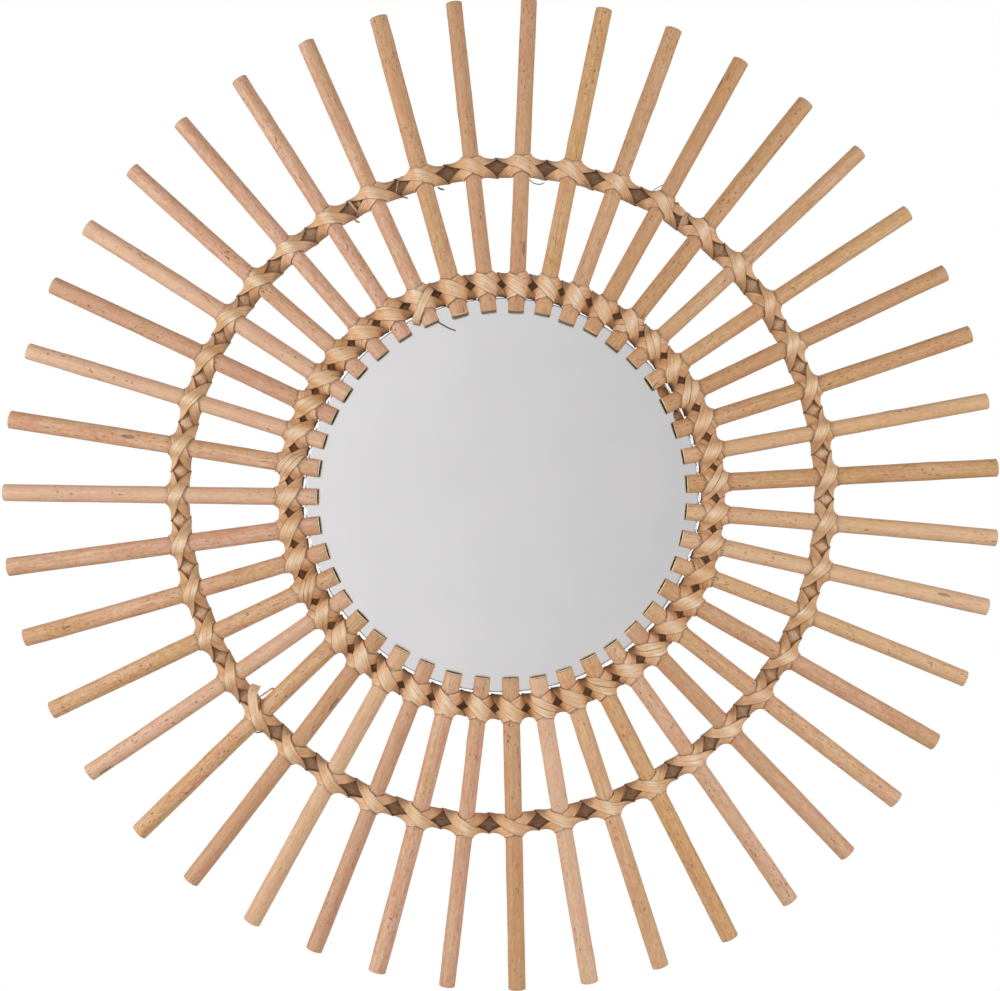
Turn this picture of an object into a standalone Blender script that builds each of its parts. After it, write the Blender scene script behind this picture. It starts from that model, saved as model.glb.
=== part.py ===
"""Round wall mirror with a sunburst of sticks.

Forty-three round sticks stand like rays round a flat round glass. Two hoops behind the
sticks carry them. Each hoop is bound to every stick by two flat strips of peel, wound in
opposite ways, that cross in front of the stick.

Lengths are metres. +X is to the right, +Z is up and the front faces -Y. The wall is the
plane y = 0, and the origin is the middle of the backing board's back face.
Angles round the mirror are in degrees, clockwise from the top as seen from the front.
"""

import math
import random

import bmesh
import bpy
from mathutils import Matrix, Vector

# Overall plan
STICK_COUNT = 43
FIRST_STICK_ANGLE = 2.45
TIP_RADIUS = 0.2481
INNER_END_RADIUS = 0.0925
END_SPREAD = 0.0005

# Sticks
STICK_RADIUS = 0.0043
STICK_RADIUS_SPREAD = 0.00028
STICK_SIDES = 8

# Nothing on this hand-made mirror is even. Each of these is a sum of waves round the ring:
# number of waves, height, phase in degrees. The heights are degrees for the two drifts of
# the sticks and metres for the tips and the hoops, which aren't quite round.
DRIFT_AT_OUTER_HOOP = (
    (1, 0.96, 38.0),
    (2, 0.53, 4.0),
    (3, 0.26, -17.0),
    (4, 0.24, 62.0),
    (5, 0.21, 135.0),
    (6, 0.19, 144.0),
)
DRIFT_AT_INNER_HOOP = (
    (1, 0.74, 47.0),
    (2, 0.58, 32.0),
    (3, 0.34, 129.0),
    (4, 0.37, 37.0),
    (5, 0.35, 111.0),
    (6, 0.23, 182.0),
)
TIP_WAVES = (
    (1, 0.0006, -58.0),
    (2, 0.0007, -93.0),
    (3, 0.0011, 34.0),
)
OUTER_HOOP_WAVES = (
    (1, 0.0003, -73.0),
    (2, 0.0017, 54.0),
    (4, 0.0006, 21.0),
)
INNER_HOOP_WAVES = (
    (1, 0.0004, -93.0),
    (4, 0.0003, -106.0),
)

# Glass and board, from the wall forwards
BOARD_RADIUS = 0.0965
BOARD_THICKNESS = 0.006
GLASS_RADIUS = 0.099
GLASS_THICKNESS = 0.003
TOUCH_GAP = 0.0003

# Hoops, of a cane that is wider than it is deep
OUTER_HOOP_RADIUS = 0.1639
OUTER_HOOP_WIDTH = 0.0080
OUTER_HOOP_DEPTH = 0.0064
INNER_HOOP_RADIUS = 0.1072
INNER_HOOP_WIDTH = 0.0086
INNER_HOOP_DEPTH = 0.0068
HOOP_SIDES = 6
OUTER_HOOP_SEGMENTS = 43
INNER_HOOP_SEGMENTS = 36

# Strips of peel
STRIP_THICKNESS = 0.0005
OUTER_STRIP_WIDTH = 0.0050
OUTER_STRIP_SLOPE = 32.0
INNER_STRIP_WIDTH = 0.0064
INNER_STRIP_SLOPE = 40.0
MID_GAP_CLEARANCE = 0.00025

# Corners of a stick that a strip folds over, and of its way round the back of a hoop
FOLD_ANGLES_ON_STICK = (157.5, 112.5, 67.5, 22.5)
FOLD_ANGLES_ON_HOOP = (-4.0, 58.7, 121.3, 184.0)

GLASS_BACK = -(BOARD_THICKNESS + TOUCH_GAP)
GLASS_FRONT = GLASS_BACK - GLASS_THICKNESS
STICK_BACK = GLASS_FRONT - TOUCH_GAP
HOOP_FRONT = STICK_BACK + TOUCH_GAP
FRONT = Vector((0.0, -1.0, 0.0))


def make_material(name, colour, roughness, metallic=0.0):
    """A plain shader with one colour."""
    material = bpy.data.materials.new(name)
    material.use_nodes = True
    shader = material.node_tree.nodes["Principled BSDF"]
    shader.inputs["Base Color"].default_value = (*colour, 1.0)
    shader.inputs["Roughness"].default_value = roughness
    shader.inputs["Metallic"].default_value = metallic
    material.diffuse_color = (*colour, 1.0)
    return material


def finish_object(obj, name, material, collection):
    """Name a piece, give it its material and move it to the mirror's collection."""
    obj.name = name
    obj.data.name = name
    obj.data.materials.clear()
    obj.data.materials.append(material)
    for owner in list(obj.users_collection):
        owner.objects.unlink(obj)
    collection.objects.link(obj)
    return obj


def radial(angle):
    """Unit vector from the middle towards an angle round the mirror."""
    turn = math.radians(angle)
    return Vector((math.sin(turn), 0.0, math.cos(turn)))


def tangent(angle):
    """Unit vector along the ring, clockwise."""
    turn = math.radians(angle)
    return Vector((math.cos(turn), 0.0, -math.sin(turn)))


def sum_of_waves(angle, waves):
    """Sum of waves round the ring, at one angle."""
    total = 0.0
    for count, height, phase in waves:
        total += height * math.sin(math.radians(count * angle + phase))
    return total


def outer_hoop_radius(angle):
    return OUTER_HOOP_RADIUS + sum_of_waves(angle, OUTER_HOOP_WAVES)


def inner_hoop_radius(angle):
    return INNER_HOOP_RADIUS + sum_of_waves(angle, INNER_HOOP_WAVES)


def lay_out_sticks():
    """Axis, thickness and ends of every stick, and where it crosses each hoop."""
    chance = random.Random(43)
    sticks = []
    for index in range(STICK_COUNT):
        base = 360.0 * index / STICK_COUNT
        outer_angle = FIRST_STICK_ANGLE + base + sum_of_waves(base, DRIFT_AT_OUTER_HOOP)
        inner_angle = FIRST_STICK_ANGLE + base + sum_of_waves(base, DRIFT_AT_INNER_HOOP)
        radius = STICK_RADIUS + chance.uniform(-1.0, 1.0) * STICK_RADIUS_SPREAD
        height = STICK_BACK - radius
        at_outer = radial(outer_angle) * outer_hoop_radius(outer_angle)
        at_inner = radial(inner_angle) * inner_hoop_radius(inner_angle)
        along = (at_outer - at_inner).normalized()
        tip = TIP_RADIUS + sum_of_waves(outer_angle, TIP_WAVES)
        tip += chance.uniform(-1.0, 1.0) * END_SPREAD
        inner_end = INNER_END_RADIUS + chance.uniform(-1.0, 1.0) * END_SPREAD
        sticks.append({
            "radius": radius,
            "axis_y": height,
            "along": along,
            "across": FRONT.cross(along) * -1.0,
            "start": at_inner + along * (inner_end - at_inner.length),
            "end": at_outer + along * (tip - at_outer.length),
            "outer_angle": outer_angle,
            "inner_angle": inner_angle,
            "at_outer": at_outer,
            "at_inner": at_inner,
        })
    return sticks


def make_stick(index, stick, material, collection):
    """One round stick, eight-sided, with a flat side to the front."""
    start = stick["start"].copy()
    end = stick["end"].copy()
    start.y = stick["axis_y"]
    end.y = stick["axis_y"]
    length = (end - start).length
    corner_radius = stick["radius"] / math.cos(math.pi / STICK_SIDES)
    bpy.ops.mesh.primitive_cylinder_add(
        vertices=STICK_SIDES, radius=corner_radius, depth=length)
    obj = bpy.context.active_object
    obj.data.transform(Matrix.Rotation(math.pi / STICK_SIDES, 4, "Z"))
    turn = Matrix((-stick["across"], FRONT, stick["along"])).transposed().to_4x4()
    obj.matrix_world = Matrix.Translation((start + end) / 2.0) @ turn
    return finish_object(obj, f"stick_{index + 1:02d}", material, collection)


def make_disc(name, radius, thickness, back_y, sides, material, collection):
    """A flat round plate whose back face lies at back_y."""
    bpy.ops.mesh.primitive_cylinder_add(vertices=sides, radius=radius, depth=thickness)
    obj = bpy.context.active_object
    obj.data.transform(Matrix.Rotation(math.pi / 2.0, 4, "X"))
    obj.location = (0.0, back_y - thickness / 2.0, 0.0)
    return finish_object(obj, name, material, collection)


def make_hoop(name, ring, segments, material, collection):
    """A cane bent into a ring that isn't quite round, just behind the sticks."""
    bpy.ops.mesh.primitive_torus_add(
        major_radius=ring["mean_radius"], minor_radius=ring["hoop_width"] / 2.0,
        major_segments=segments, minor_segments=HOOP_SIDES)
    obj = bpy.context.active_object
    obj.data.transform(Matrix.Rotation(math.pi / 2.0, 4, "X"))
    flatten = ring["hoop_depth"] / ring["hoop_width"]
    for vertex in obj.data.vertices:
        x, y, z = vertex.co
        angle = math.degrees(math.atan2(x, z))
        stray = ring["radius_at"](angle) - ring["mean_radius"]
        moved = radial(angle) * (math.hypot(x, z) + stray)
        moved.y = y * flatten
        vertex.co = moved
    obj.location = (0.0, HOOP_FRONT + ring["hoop_depth"] / 2.0, 0.0)
    return finish_object(obj, name, material, collection)


def fold_lines(sticks, which, way, layer, ring):
    """Fold lines of one strip all the way round a hoop.

    way is 1 for a strip that crosses each stick from the outer side to the inner side as
    it goes clockwise, and -1 for the other. layer is 0 for the strip wound first. Each
    fold line is its middle, its direction across the strip with half the width, and the
    side of the strip that faces away from the wood.
    """
    hoop_y = HOOP_FRONT + ring["hoop_depth"] / 2.0
    lift = TOUCH_GAP + layer * (STRIP_THICKNESS + TOUCH_GAP)
    slope = math.radians(ring["slope"])
    half_on_stick = ring["width"] / 2.0 / math.cos(slope)
    hoop_step = math.radians(FOLD_ANGLES_ON_HOOP[1] - FOLD_ANGLES_ON_HOOP[0])
    wide = (ring["hoop_width"] / 2.0 + lift) / math.cos(hoop_step / 2.0)
    deep = (ring["hoop_depth"] / 2.0 + lift) / math.cos(hoop_step / 2.0)
    lines = []
    for index, stick in enumerate(sticks):
        crossing = stick["at_" + which].copy()
        crossing.y = stick["axis_y"]
        corner = (stick["radius"] + lift) / math.cos(math.pi / STICK_SIDES)
        for fold in FOLD_ANGLES_ON_STICK:
            turn = math.radians(fold)
            outward = stick["across"] * math.cos(turn) + FRONT * math.sin(turn)
            run = (math.pi / 2.0 - turn) * (stick["radius"] + lift)
            shift = -way * run * math.tan(slope)
            middle = crossing + outward * corner + stick["along"] * shift
            lines.append((middle, -stick["along"] * half_on_stick, outward))
        following = sticks[(index + 1) % len(sticks)]
        angle = stick[which + "_angle"]
        next_angle = following[which + "_angle"]
        if next_angle < angle:
            next_angle += 360.0
        mid_angle = (angle + next_angle) / 2.0
        hoop_radius = ring["radius_at"](mid_angle)
        half_gap = math.radians(next_angle - angle) / 2.0 * hoop_radius
        flank = max(stick["radius"], following["radius"]) + lift
        room = (half_gap - MID_GAP_CLEARANCE - flank) / 2.0
        half_on_hoop = min(ring["width"] / 2.0, room)
        reach = half_on_hoop + MID_GAP_CLEARANCE
        out = radial(mid_angle)
        side = tangent(mid_angle)
        for step, fold in enumerate(FOLD_ANGLES_ON_HOOP):
            turn = math.radians(fold)
            edgeways = out * (-way * math.cos(turn))
            backwards = -FRONT * math.sin(turn)
            along = reach * (2.0 * step / (len(FOLD_ANGLES_ON_HOOP) - 1) - 1.0)
            middle = out * hoop_radius + side * along + edgeways * wide + backwards * deep
            middle.y += hoop_y
            lines.append((middle, side * (-way * half_on_hoop), edgeways + backwards))
    return lines


def make_strip(name, lines, way, material, collection):
    """A flat strip lofted through its fold lines, closed on itself.

    Its section is a low wedge: one edge has the strip's thickness, the other is sharp.
    Where it twists between a stick and the hoop, its faces are split the way that keeps
    them from crossing each other.
    """
    per_wrap = len(FOLD_ANGLES_ON_STICK) + len(FOLD_ANGLES_ON_HOOP)
    twists = (len(FOLD_ANGLES_ON_STICK) - 1, per_wrap - 1)
    mesh = bmesh.new()
    rows = []
    for middle, half, outward in lines:
        thick_edge = middle - half
        row = (thick_edge, middle + half, thick_edge + outward * STRIP_THICKNESS)
        rows.append([mesh.verts.new(point) for point in row])
    for index, row in enumerate(rows):
        ahead = rows[(index + 1) % len(rows)]
        for first in range(3):
            second = (first + 1) % 3
            a, b, c, d = row[first], row[second], ahead[second], ahead[first]
            if index % per_wrap in twists:
                left_to_right = way > 0
            else:
                left_to_right = (first != 1) == (way < 0)
            if left_to_right:
                mesh.faces.new((a, b, c))
                mesh.faces.new((a, c, d))
            else:
                mesh.faces.new((a, b, d))
                mesh.faces.new((b, c, d))
    bmesh.ops.recalc_face_normals(mesh, faces=mesh.faces)
    data = bpy.data.meshes.new(name)
    mesh.to_mesh(data)
    mesh.free()
    obj = bpy.data.objects.new(name, data)
    collection.objects.link(obj)
    return finish_object(obj, name, material, collection)


def main():
    for obj in list(bpy.data.objects):
        bpy.data.objects.remove(obj, do_unlink=True)
    collection = bpy.data.collections.new("wall_mirror")
    bpy.context.scene.collection.children.link(collection)

    stick_wood = make_material("stick_wood", (0.66, 0.39, 0.22), 0.6)
    hoop_wood = make_material("hoop_wood", (0.28, 0.16, 0.10), 0.7)
    strip_peel = make_material("strip_peel", (0.74, 0.51, 0.29), 0.45)
    mirror_silver = make_material("mirror_silver", (0.86, 0.87, 0.88), 0.03, 1.0)
    board_wood = make_material("board_wood", (0.36, 0.24, 0.15), 0.8)

    sticks = lay_out_sticks()
    for index, stick in enumerate(sticks):
        make_stick(index, stick, stick_wood, collection)

    make_disc("backing_board", BOARD_RADIUS, BOARD_THICKNESS, 0.0, 36, board_wood, collection)
    make_disc("mirror_glass", GLASS_RADIUS, GLASS_THICKNESS, GLASS_BACK, 48,
              mirror_silver, collection)
    rings = {
        "outer": {"mean_radius": OUTER_HOOP_RADIUS, "radius_at": outer_hoop_radius,
                  "hoop_width": OUTER_HOOP_WIDTH, "hoop_depth": OUTER_HOOP_DEPTH,
                  "width": OUTER_STRIP_WIDTH, "slope": OUTER_STRIP_SLOPE},
        "inner": {"mean_radius": INNER_HOOP_RADIUS, "radius_at": inner_hoop_radius,
                  "hoop_width": INNER_HOOP_WIDTH, "hoop_depth": INNER_HOOP_DEPTH,
                  "width": INNER_STRIP_WIDTH, "slope": INNER_STRIP_SLOPE},
    }
    make_hoop("outer_hoop", rings["outer"], OUTER_HOOP_SEGMENTS, hoop_wood, collection)
    make_hoop("inner_hoop", rings["inner"], INNER_HOOP_SEGMENTS, hoop_wood, collection)
    for which, ring in rings.items():
        for layer, (turn_name, way) in enumerate((("first", -1), ("second", 1))):
            lines = fold_lines(sticks, which, way, layer, ring)
            make_strip(f"{which}_binding_{turn_name}", lines, way, strip_peel, collection)


main()
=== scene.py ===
# %% [markdown]
# # A round wall mirror in a sunburst of sticks
#
# The mirror is a small round glass. Forty-three peeled wicker sticks stand round it like
# rays. Two cane hoops behind the sticks carry them, and flat strips of peel, wound round
# each hoop in both directions, cross over every stick.
#
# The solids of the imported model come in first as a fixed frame. They say where each stick,
# hoop and strip is, so nothing below has to be fitted by eye. The front of the mirror
# faces -Y, +X is to the right and +Z is up. Lengths are metres.

# %% The fixed frame
import math
import random

import bmesh
import bpy
import numpy as np
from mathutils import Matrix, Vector
from mathutils.bvhtree import BVHTree


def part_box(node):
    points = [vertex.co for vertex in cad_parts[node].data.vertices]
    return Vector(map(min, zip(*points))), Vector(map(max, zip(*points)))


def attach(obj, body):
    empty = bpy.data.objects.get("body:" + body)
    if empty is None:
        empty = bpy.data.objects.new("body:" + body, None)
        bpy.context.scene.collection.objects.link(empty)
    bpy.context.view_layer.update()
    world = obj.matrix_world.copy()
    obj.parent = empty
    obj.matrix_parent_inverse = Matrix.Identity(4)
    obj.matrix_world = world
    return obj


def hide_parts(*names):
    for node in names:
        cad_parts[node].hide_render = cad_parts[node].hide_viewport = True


MILLIMETRES = 1000.0

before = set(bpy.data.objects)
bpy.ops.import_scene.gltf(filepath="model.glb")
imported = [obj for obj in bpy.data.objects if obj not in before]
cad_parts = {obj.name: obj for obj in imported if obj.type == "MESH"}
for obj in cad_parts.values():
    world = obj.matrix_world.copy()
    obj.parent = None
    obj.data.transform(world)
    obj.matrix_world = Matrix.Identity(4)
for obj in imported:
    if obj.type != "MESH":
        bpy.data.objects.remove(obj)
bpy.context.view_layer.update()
print("frame:", len(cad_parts), "solids")

# %% [markdown]
# ## Where the sticks are
#
# Each solid stick is a short prism. Its corners lie in two groups, one at each end, and
# the middle of each group is an end of the stick's axis. Measuring them here is safer
# than writing the same numbers twice, because the detailed stick then can't drift away
# from the solid that it stands for.

# %% Measuring the solid sticks
FRONT = Vector((0.0, -1.0, 0.0))
FORWARD = np.array(FRONT)
STICK_COUNT = 43
SOLID_STICK_SIDES = 8


def solid_points(name):
    """Corners of a solid, each one once."""
    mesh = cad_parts[name].data
    points = np.empty(len(mesh.vertices) * 3)
    mesh.vertices.foreach_get("co", points)
    return np.unique(points.reshape(-1, 3).round(6), axis=0)


def measure_stick(name):
    """Ends, directions and radius of one solid stick."""
    points = solid_points(name)
    distance = np.hypot(points[:, 0], points[:, 2])
    near = distance < (distance.min() + distance.max()) / 2.0
    start = Vector(points[near].mean(axis=0))
    end = Vector(points[~near].mean(axis=0))
    along = (end - start).normalized()
    corner = Vector(points[near][0]) - start
    return {
        "name": name,
        "start": start,
        "end": end,
        "along": along,
        "across": along.cross(FRONT),
        "radius": corner.length * math.cos(math.pi / SOLID_STICK_SIDES),
    }


sticks = [measure_stick(f"stick_{number:02d}") for number in range(1, STICK_COUNT + 1)]
mean_radius = sum(stick["radius"] for stick in sticks) / STICK_COUNT
print("sticks:", len(sticks), "mean thickness", round(2.0 * mean_radius * MILLIMETRES, 2), "mm")

# %% [markdown]
# ## Where the hoops are
#
# The hoops are hand bent, so they aren't quite round, and their cane is wider than it is
# deep. At each angle the hoop's centre line lies halfway between its nearest and farthest
# corner, and between those angles it is read off by interpolation.

# %% Measuring the solid hoops
SOLID_HOOP_SIDES = 6


def measure_hoop(node):
    """Centre line and section of a solid hoop."""
    points = solid_points(node)
    distance = np.hypot(points[:, 0], points[:, 2])
    angle = np.arctan2(points[:, 0], points[:, 2]).round(3)
    bearings = np.unique(angle)
    spans = np.array([(distance[angle == bearing].min(), distance[angle == bearing].max())
                      for bearing in bearings])
    return {
        "node": node,
        "bearings": bearings,
        "radii": spans.mean(axis=1),
        "wide": float(np.median(spans[:, 1] - spans[:, 0])) / 2.0,
        "deep": (points[:, 1].max() - points[:, 1].min()) / 2.0
        / math.cos(math.pi / SOLID_HOOP_SIDES),
        "y": (points[:, 1].min() + points[:, 1].max()) / 2.0,
    }


def radius_at(ring, angle):
    """Distance of a hoop's centre line from the middle, at an angle or at many."""
    return np.interp(angle, ring["bearings"], ring["radii"], period=2.0 * math.pi)


print("a solid hoop's section has", SOLID_HOOP_SIDES, "sides")

# %% [markdown]
# ## Where sticks and hoops cross
#
# Each stick crosses a hoop where the stick's axis meets the hoop's centre line. The hoop's
# radius changes with the angle, and the angle changes as the point slides along the stick,
# so the crossing is found in a few steps that each come closer.

# %% Finding the crossings
STEPS_TO_CROSSING = 3


def crossing(stick, ring):
    """Point of a stick's axis over the centre line of a hoop."""
    point = stick["end"]
    for _ in range(STEPS_TO_CROSSING):
        distance = math.hypot(point.x, point.z)
        point = point + stick["along"] * float(
            radius_at(ring, math.atan2(point.x, point.z)) - distance)
    return point


def measure_ring(node):
    """A hoop, and where each stick crosses it."""
    ring = measure_hoop(node)
    ring["at"] = np.array([crossing(stick, ring) for stick in sticks])
    ring["angles"] = np.unwrap(np.arctan2(ring["at"][:, 0], ring["at"][:, 2]))
    return ring


outer = measure_ring("outer_hoop")
inner = measure_ring("inner_hoop")
for ring in (outer, inner):
    print(ring["node"], "radius", ring["radii"].min().round(4), "to",
          ring["radii"].max().round(4), "m, half width",
          round(ring["wide"] * MILLIMETRES, 2), "mm")

# %% [markdown]
# ## Node maths as plain expressions
#
# A material is a graph of small nodes. Wiring them one by one makes even a short formula
# hard to read. The class below wraps one output socket, so that `a * 2 + b` adds the Math
# nodes by itself, and `node` adds any other kind. Colours and vectors go through Mix and
# Vector Math instead, because a Math node would turn a colour grey. Most sockets have a
# name of their own, but a Mix node has several of the same name, so those go by number.

# %% A socket that can be used in sums
MIX_FACTOR, MIX_FIRST, MIX_SECOND, MIX_RESULT = 0, 6, 7, 2


class Wire:
    """One socket in a material's nodes, or, without a socket, the nodes themselves."""

    def __init__(self, tree, socket=None):
        self.tree = tree
        self.socket = socket

    def node(self, kind, settings, inputs, output=0):
        """A new node. Its settings are set first, then its sockets get values or links."""
        made = self.tree.nodes.new(kind)
        for key, value in settings.items():
            setattr(made, key, value)
        for key, value in inputs.items():
            if isinstance(value, Wire):
                self.tree.links.new(value.socket, made.inputs[key])
            else:
                made.inputs[key].default_value = value
        return Wire(self.tree, made.outputs[output])

    def sum(self, operation, first, second=0.0):
        return self.node("ShaderNodeMath", {"operation": operation}, {0: first, 1: second})

    def __add__(self, other):
        return self.sum("ADD", self, other)

    __radd__ = __add__

    def __mul__(self, other):
        return self.sum("MULTIPLY", self, other)

    __rmul__ = __mul__

    def __sub__(self, other):
        return self.sum("SUBTRACT", self, other)

    def __rsub__(self, other):
        return self.sum("SUBTRACT", other, self)

    def size(self):
        """This value without its sign."""
        return self.sum("ABSOLUTE", self)

    def part(self, axis):
        """One of the three numbers of this vector."""
        return self.node("ShaderNodeSeparateXYZ", {}, {0: self}, axis)

    def least(self, other):
        return self.sum("MINIMUM", self, other)

    def most(self, other):
        return self.sum("MAXIMUM", self, other)

    def fade(self, low, high):
        """0 below low, 1 above high and a soft step between. low may be the larger."""
        if low > high:
            return 1.0 - self.fade(high, low)
        return self.node("ShaderNodeMapRange", {"interpolation_type": "SMOOTHSTEP"},
                         {"Value": self, "From Min": low, "From Max": high})

    def mix(self, first, second):
        """first where this wire is 0 and second where it is 1, as colours."""
        return self.node("ShaderNodeMix", {"data_type": "RGBA", "clamp_factor": True},
                         {MIX_FACTOR: self, MIX_FIRST: first, MIX_SECOND: second}, MIX_RESULT)

    def stretch(self, scale, offset=(0.0, 0.0, 0.0)):
        """This vector with each axis scaled, then moved."""
        return self.node("ShaderNodeVectorMath", {"operation": "MULTIPLY_ADD"},
                         {0: self, 1: scale, 2: offset})

    def noise(self, detail=3.0, roughness=0.55, distortion=0.0):
        """Cloudy noise at this vector, about 0.5 on average."""
        return self.node("ShaderNodeTexNoise", {"noise_dimensions": "3D"},
                         {"Vector": self, "Scale": 1.0, "Detail": detail,
                          "Roughness": roughness, "Distortion": distortion})

    def length(self):
        """How long this vector is."""
        return self.node("ShaderNodeVectorMath", {"operation": "LENGTH"}, {0: self}, "Value")

    def attribute(self, name, output="Vector"):
        """What the mesh stores under a name."""
        return self.node("ShaderNodeAttribute", {"attribute_name": name}, {}, output)

    def place(self):
        """The place on the object, in metres."""
        return self.node("ShaderNodeTexCoord", {}, {}, "Object")


print("a wire is one of", Wire.__name__, "and adds its nodes by itself")

# %% [markdown]
# ## Colours
#
# A colour is easiest to choose as it looks on a screen, from 0 to 255, while a shader wants
# linear light. One function turns the first into the second. Wood is built up here as if in
# layers of thin paint, each one showing only where a pattern says so, and a second function
# lays such layers over a ground.

# %% Colours and layers of paint
def colour(red, green, blue):
    """A colour as it looks on a screen, 0 to 255, as the shader's linear light."""
    linear = []
    for level in (red, green, blue):
        level = level / 255.0
        linear.append(level / 12.92 if level <= 0.04045 else ((level + 0.055) / 1.055) ** 2.4)
    return (*linear, 1.0)


def painted(base, *layers):
    """A colour under layers of paint: how strongly each one shows, and its colour."""
    for amount, red_green_blue in layers:
        base = amount.mix(base, colour(*red_green_blue))
    return base


print("screen white is", colour(255, 255, 255))

# %% [markdown]
# ## Starting a finish
#
# Every finish here is a Principled shader. What changes over the surface, such as the
# colour, the gloss and the fine relief, comes from nodes. What is the same all over is a
# plain value on the shader's own socket.

# %% One shader for each finish
def start_finish(name, viewport, **values):
    """A new material, the wire that its nodes hang on, and its shader."""
    material = bpy.data.materials.new(name)
    material.use_nodes = True
    material.diffuse_color = viewport
    shader = material.node_tree.nodes["Principled BSDF"]
    for key, value in values.items():
        shader.inputs[key.replace("_", " ")].default_value = value
    return material, Wire(material.node_tree), shader


def feed(wires, shader, base, roughness, relief, height):
    """Link colour, gloss and a bump of a given height in metres to the shader."""
    wires.tree.links.new(base.socket, shader.inputs["Base Color"])
    wires.tree.links.new(roughness.socket, shader.inputs["Roughness"])
    bump = wires.node("ShaderNodeBump", {}, {"Strength": 1.0, "Distance": height,
                                             "Height": relief})
    wires.tree.links.new(bump.socket, shader.inputs["Normal"])


print("finishes are started by", start_finish.__name__)

# %% [markdown]
# ## Peeled wicker
#
# A peeled stick is pale tan with a satin gloss. Fine streaks run along it, some sticks
# are pinker and some yellower, and small brown specks sit in loose groups where buds and
# bark were. The pattern has to run along each stick whichever way it points, so each
# stick carries its own coordinates in an attribute called `grain`: x is the distance along
# the stick, y and z are the place in its round section. A second attribute, `tone`, holds
# what differs from stick to stick.

# %% The finish of the sticks
def wicker_finish():
    material, wires, shader = start_finish(
        "peeled_wicker", (0.62, 0.38, 0.23, 1.0), Specular_IOR_Level=0.4, Coat_Roughness=0.4,
        Coat_Weight=0.05)
    grain = wires.attribute("grain")
    tone = wires.attribute("tone")
    light, pink, spotted = (tone.part(axis) for axis in range(3))

    broad = grain.stretch((16.0, 120.0, 120.0)).noise(2.0)
    side = grain.stretch((9.0, 190.0, 190.0), (2.0, 5.0, 1.0)).noise(1.0)
    streaks = grain.stretch((38.0, 1150.0, 1150.0)).noise(3.0, 0.6)
    fibres = grain.stretch((170.0, 3600.0, 3600.0)).noise(2.0, 0.6)
    patches = grain.stretch((46.0, 210.0, 210.0), (3.1, 0.0, 0.0)).noise(2.0)
    mottle = grain.stretch((340.0, 760.0, 760.0), (0.7, 0.0, 0.0)).noise(3.0, 0.7)
    groups = grain.stretch((40.0, 160.0, 160.0), (7.7, 0.0, 0.0)).noise(1.0)
    dots = grain.stretch((420.0, 1150.0, 1150.0), (1.3, 0.0, 0.0)).noise(2.0, 0.5)
    specks = dots.fade(0.630, 0.69) * (groups + spotted * 0.17).fade(0.54, 0.64)

    cells = {"Vector": grain.stretch((24.0, 95.0, 95.0)), "Scale": 1.0}
    eyes = wires.node("ShaderNodeTexVoronoi", {}, cells)
    chosen = wires.node("ShaderNodeTexVoronoi", {}, cells, "Color").part(0).fade(0.86, 0.87)
    bud_marks = eyes.fade(0.115, 0.080) * (1.0 - eyes.fade(0.055, 0.015) * 0.6) * chosen

    base = painted(
        pink.fade(0.0, 1.0).mix(colour(219, 174, 112), colour(217, 166, 144)),
        (side.fade(0.42, 0.62) * 0.60, (204, 168, 114)),
        (broad.fade(0.34, 0.70) * 0.70, (230, 192, 158)),
        (pink.fade(0.5, 1.0) * 0.46, (228, 182, 158)),
        (pink.fade(0.5, 0.0) * 0.38, (212, 160, 104)),
        (streaks.fade(0.46, 0.72) * 0.46, (182, 130, 94)),
        (streaks.fade(0.50, 0.30) * 0.30, (236, 200, 164)),
        (fibres.fade(0.52, 0.74) * 0.25, (166, 120, 88)),
        (patches.fade(0.50, 0.64) * 0.42, (210, 142, 108)),
        (patches.fade(0.46, 0.32) * 0.42, (202, 154, 86)),
        (mottle.fade(0.50, 0.66) * 0.44, (184, 122, 74)),
        (mottle.fade(0.46, 0.32) * 0.32, (244, 212, 180)),
        (light.fade(0.5, 0.0) * 0.40, (192, 142, 104)),
        (light.fade(0.5, 1.0) * 0.40, (238, 202, 168)),
        (specks * 0.75, (132, 80, 46)),
        (bud_marks * 0.65, (128, 86, 56)))
    relief = fibres * 0.35 + streaks * 0.5 - specks * 0.8 - bud_marks * 0.5 + patches * 0.3
    gloss = 0.46 + streaks * 0.16 + specks * 0.2
    feed(wires, shader, base, gloss, relief, 0.00022)
    return material


peeled_wicker = wicker_finish()
print("finish:", peeled_wicker.name)
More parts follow.
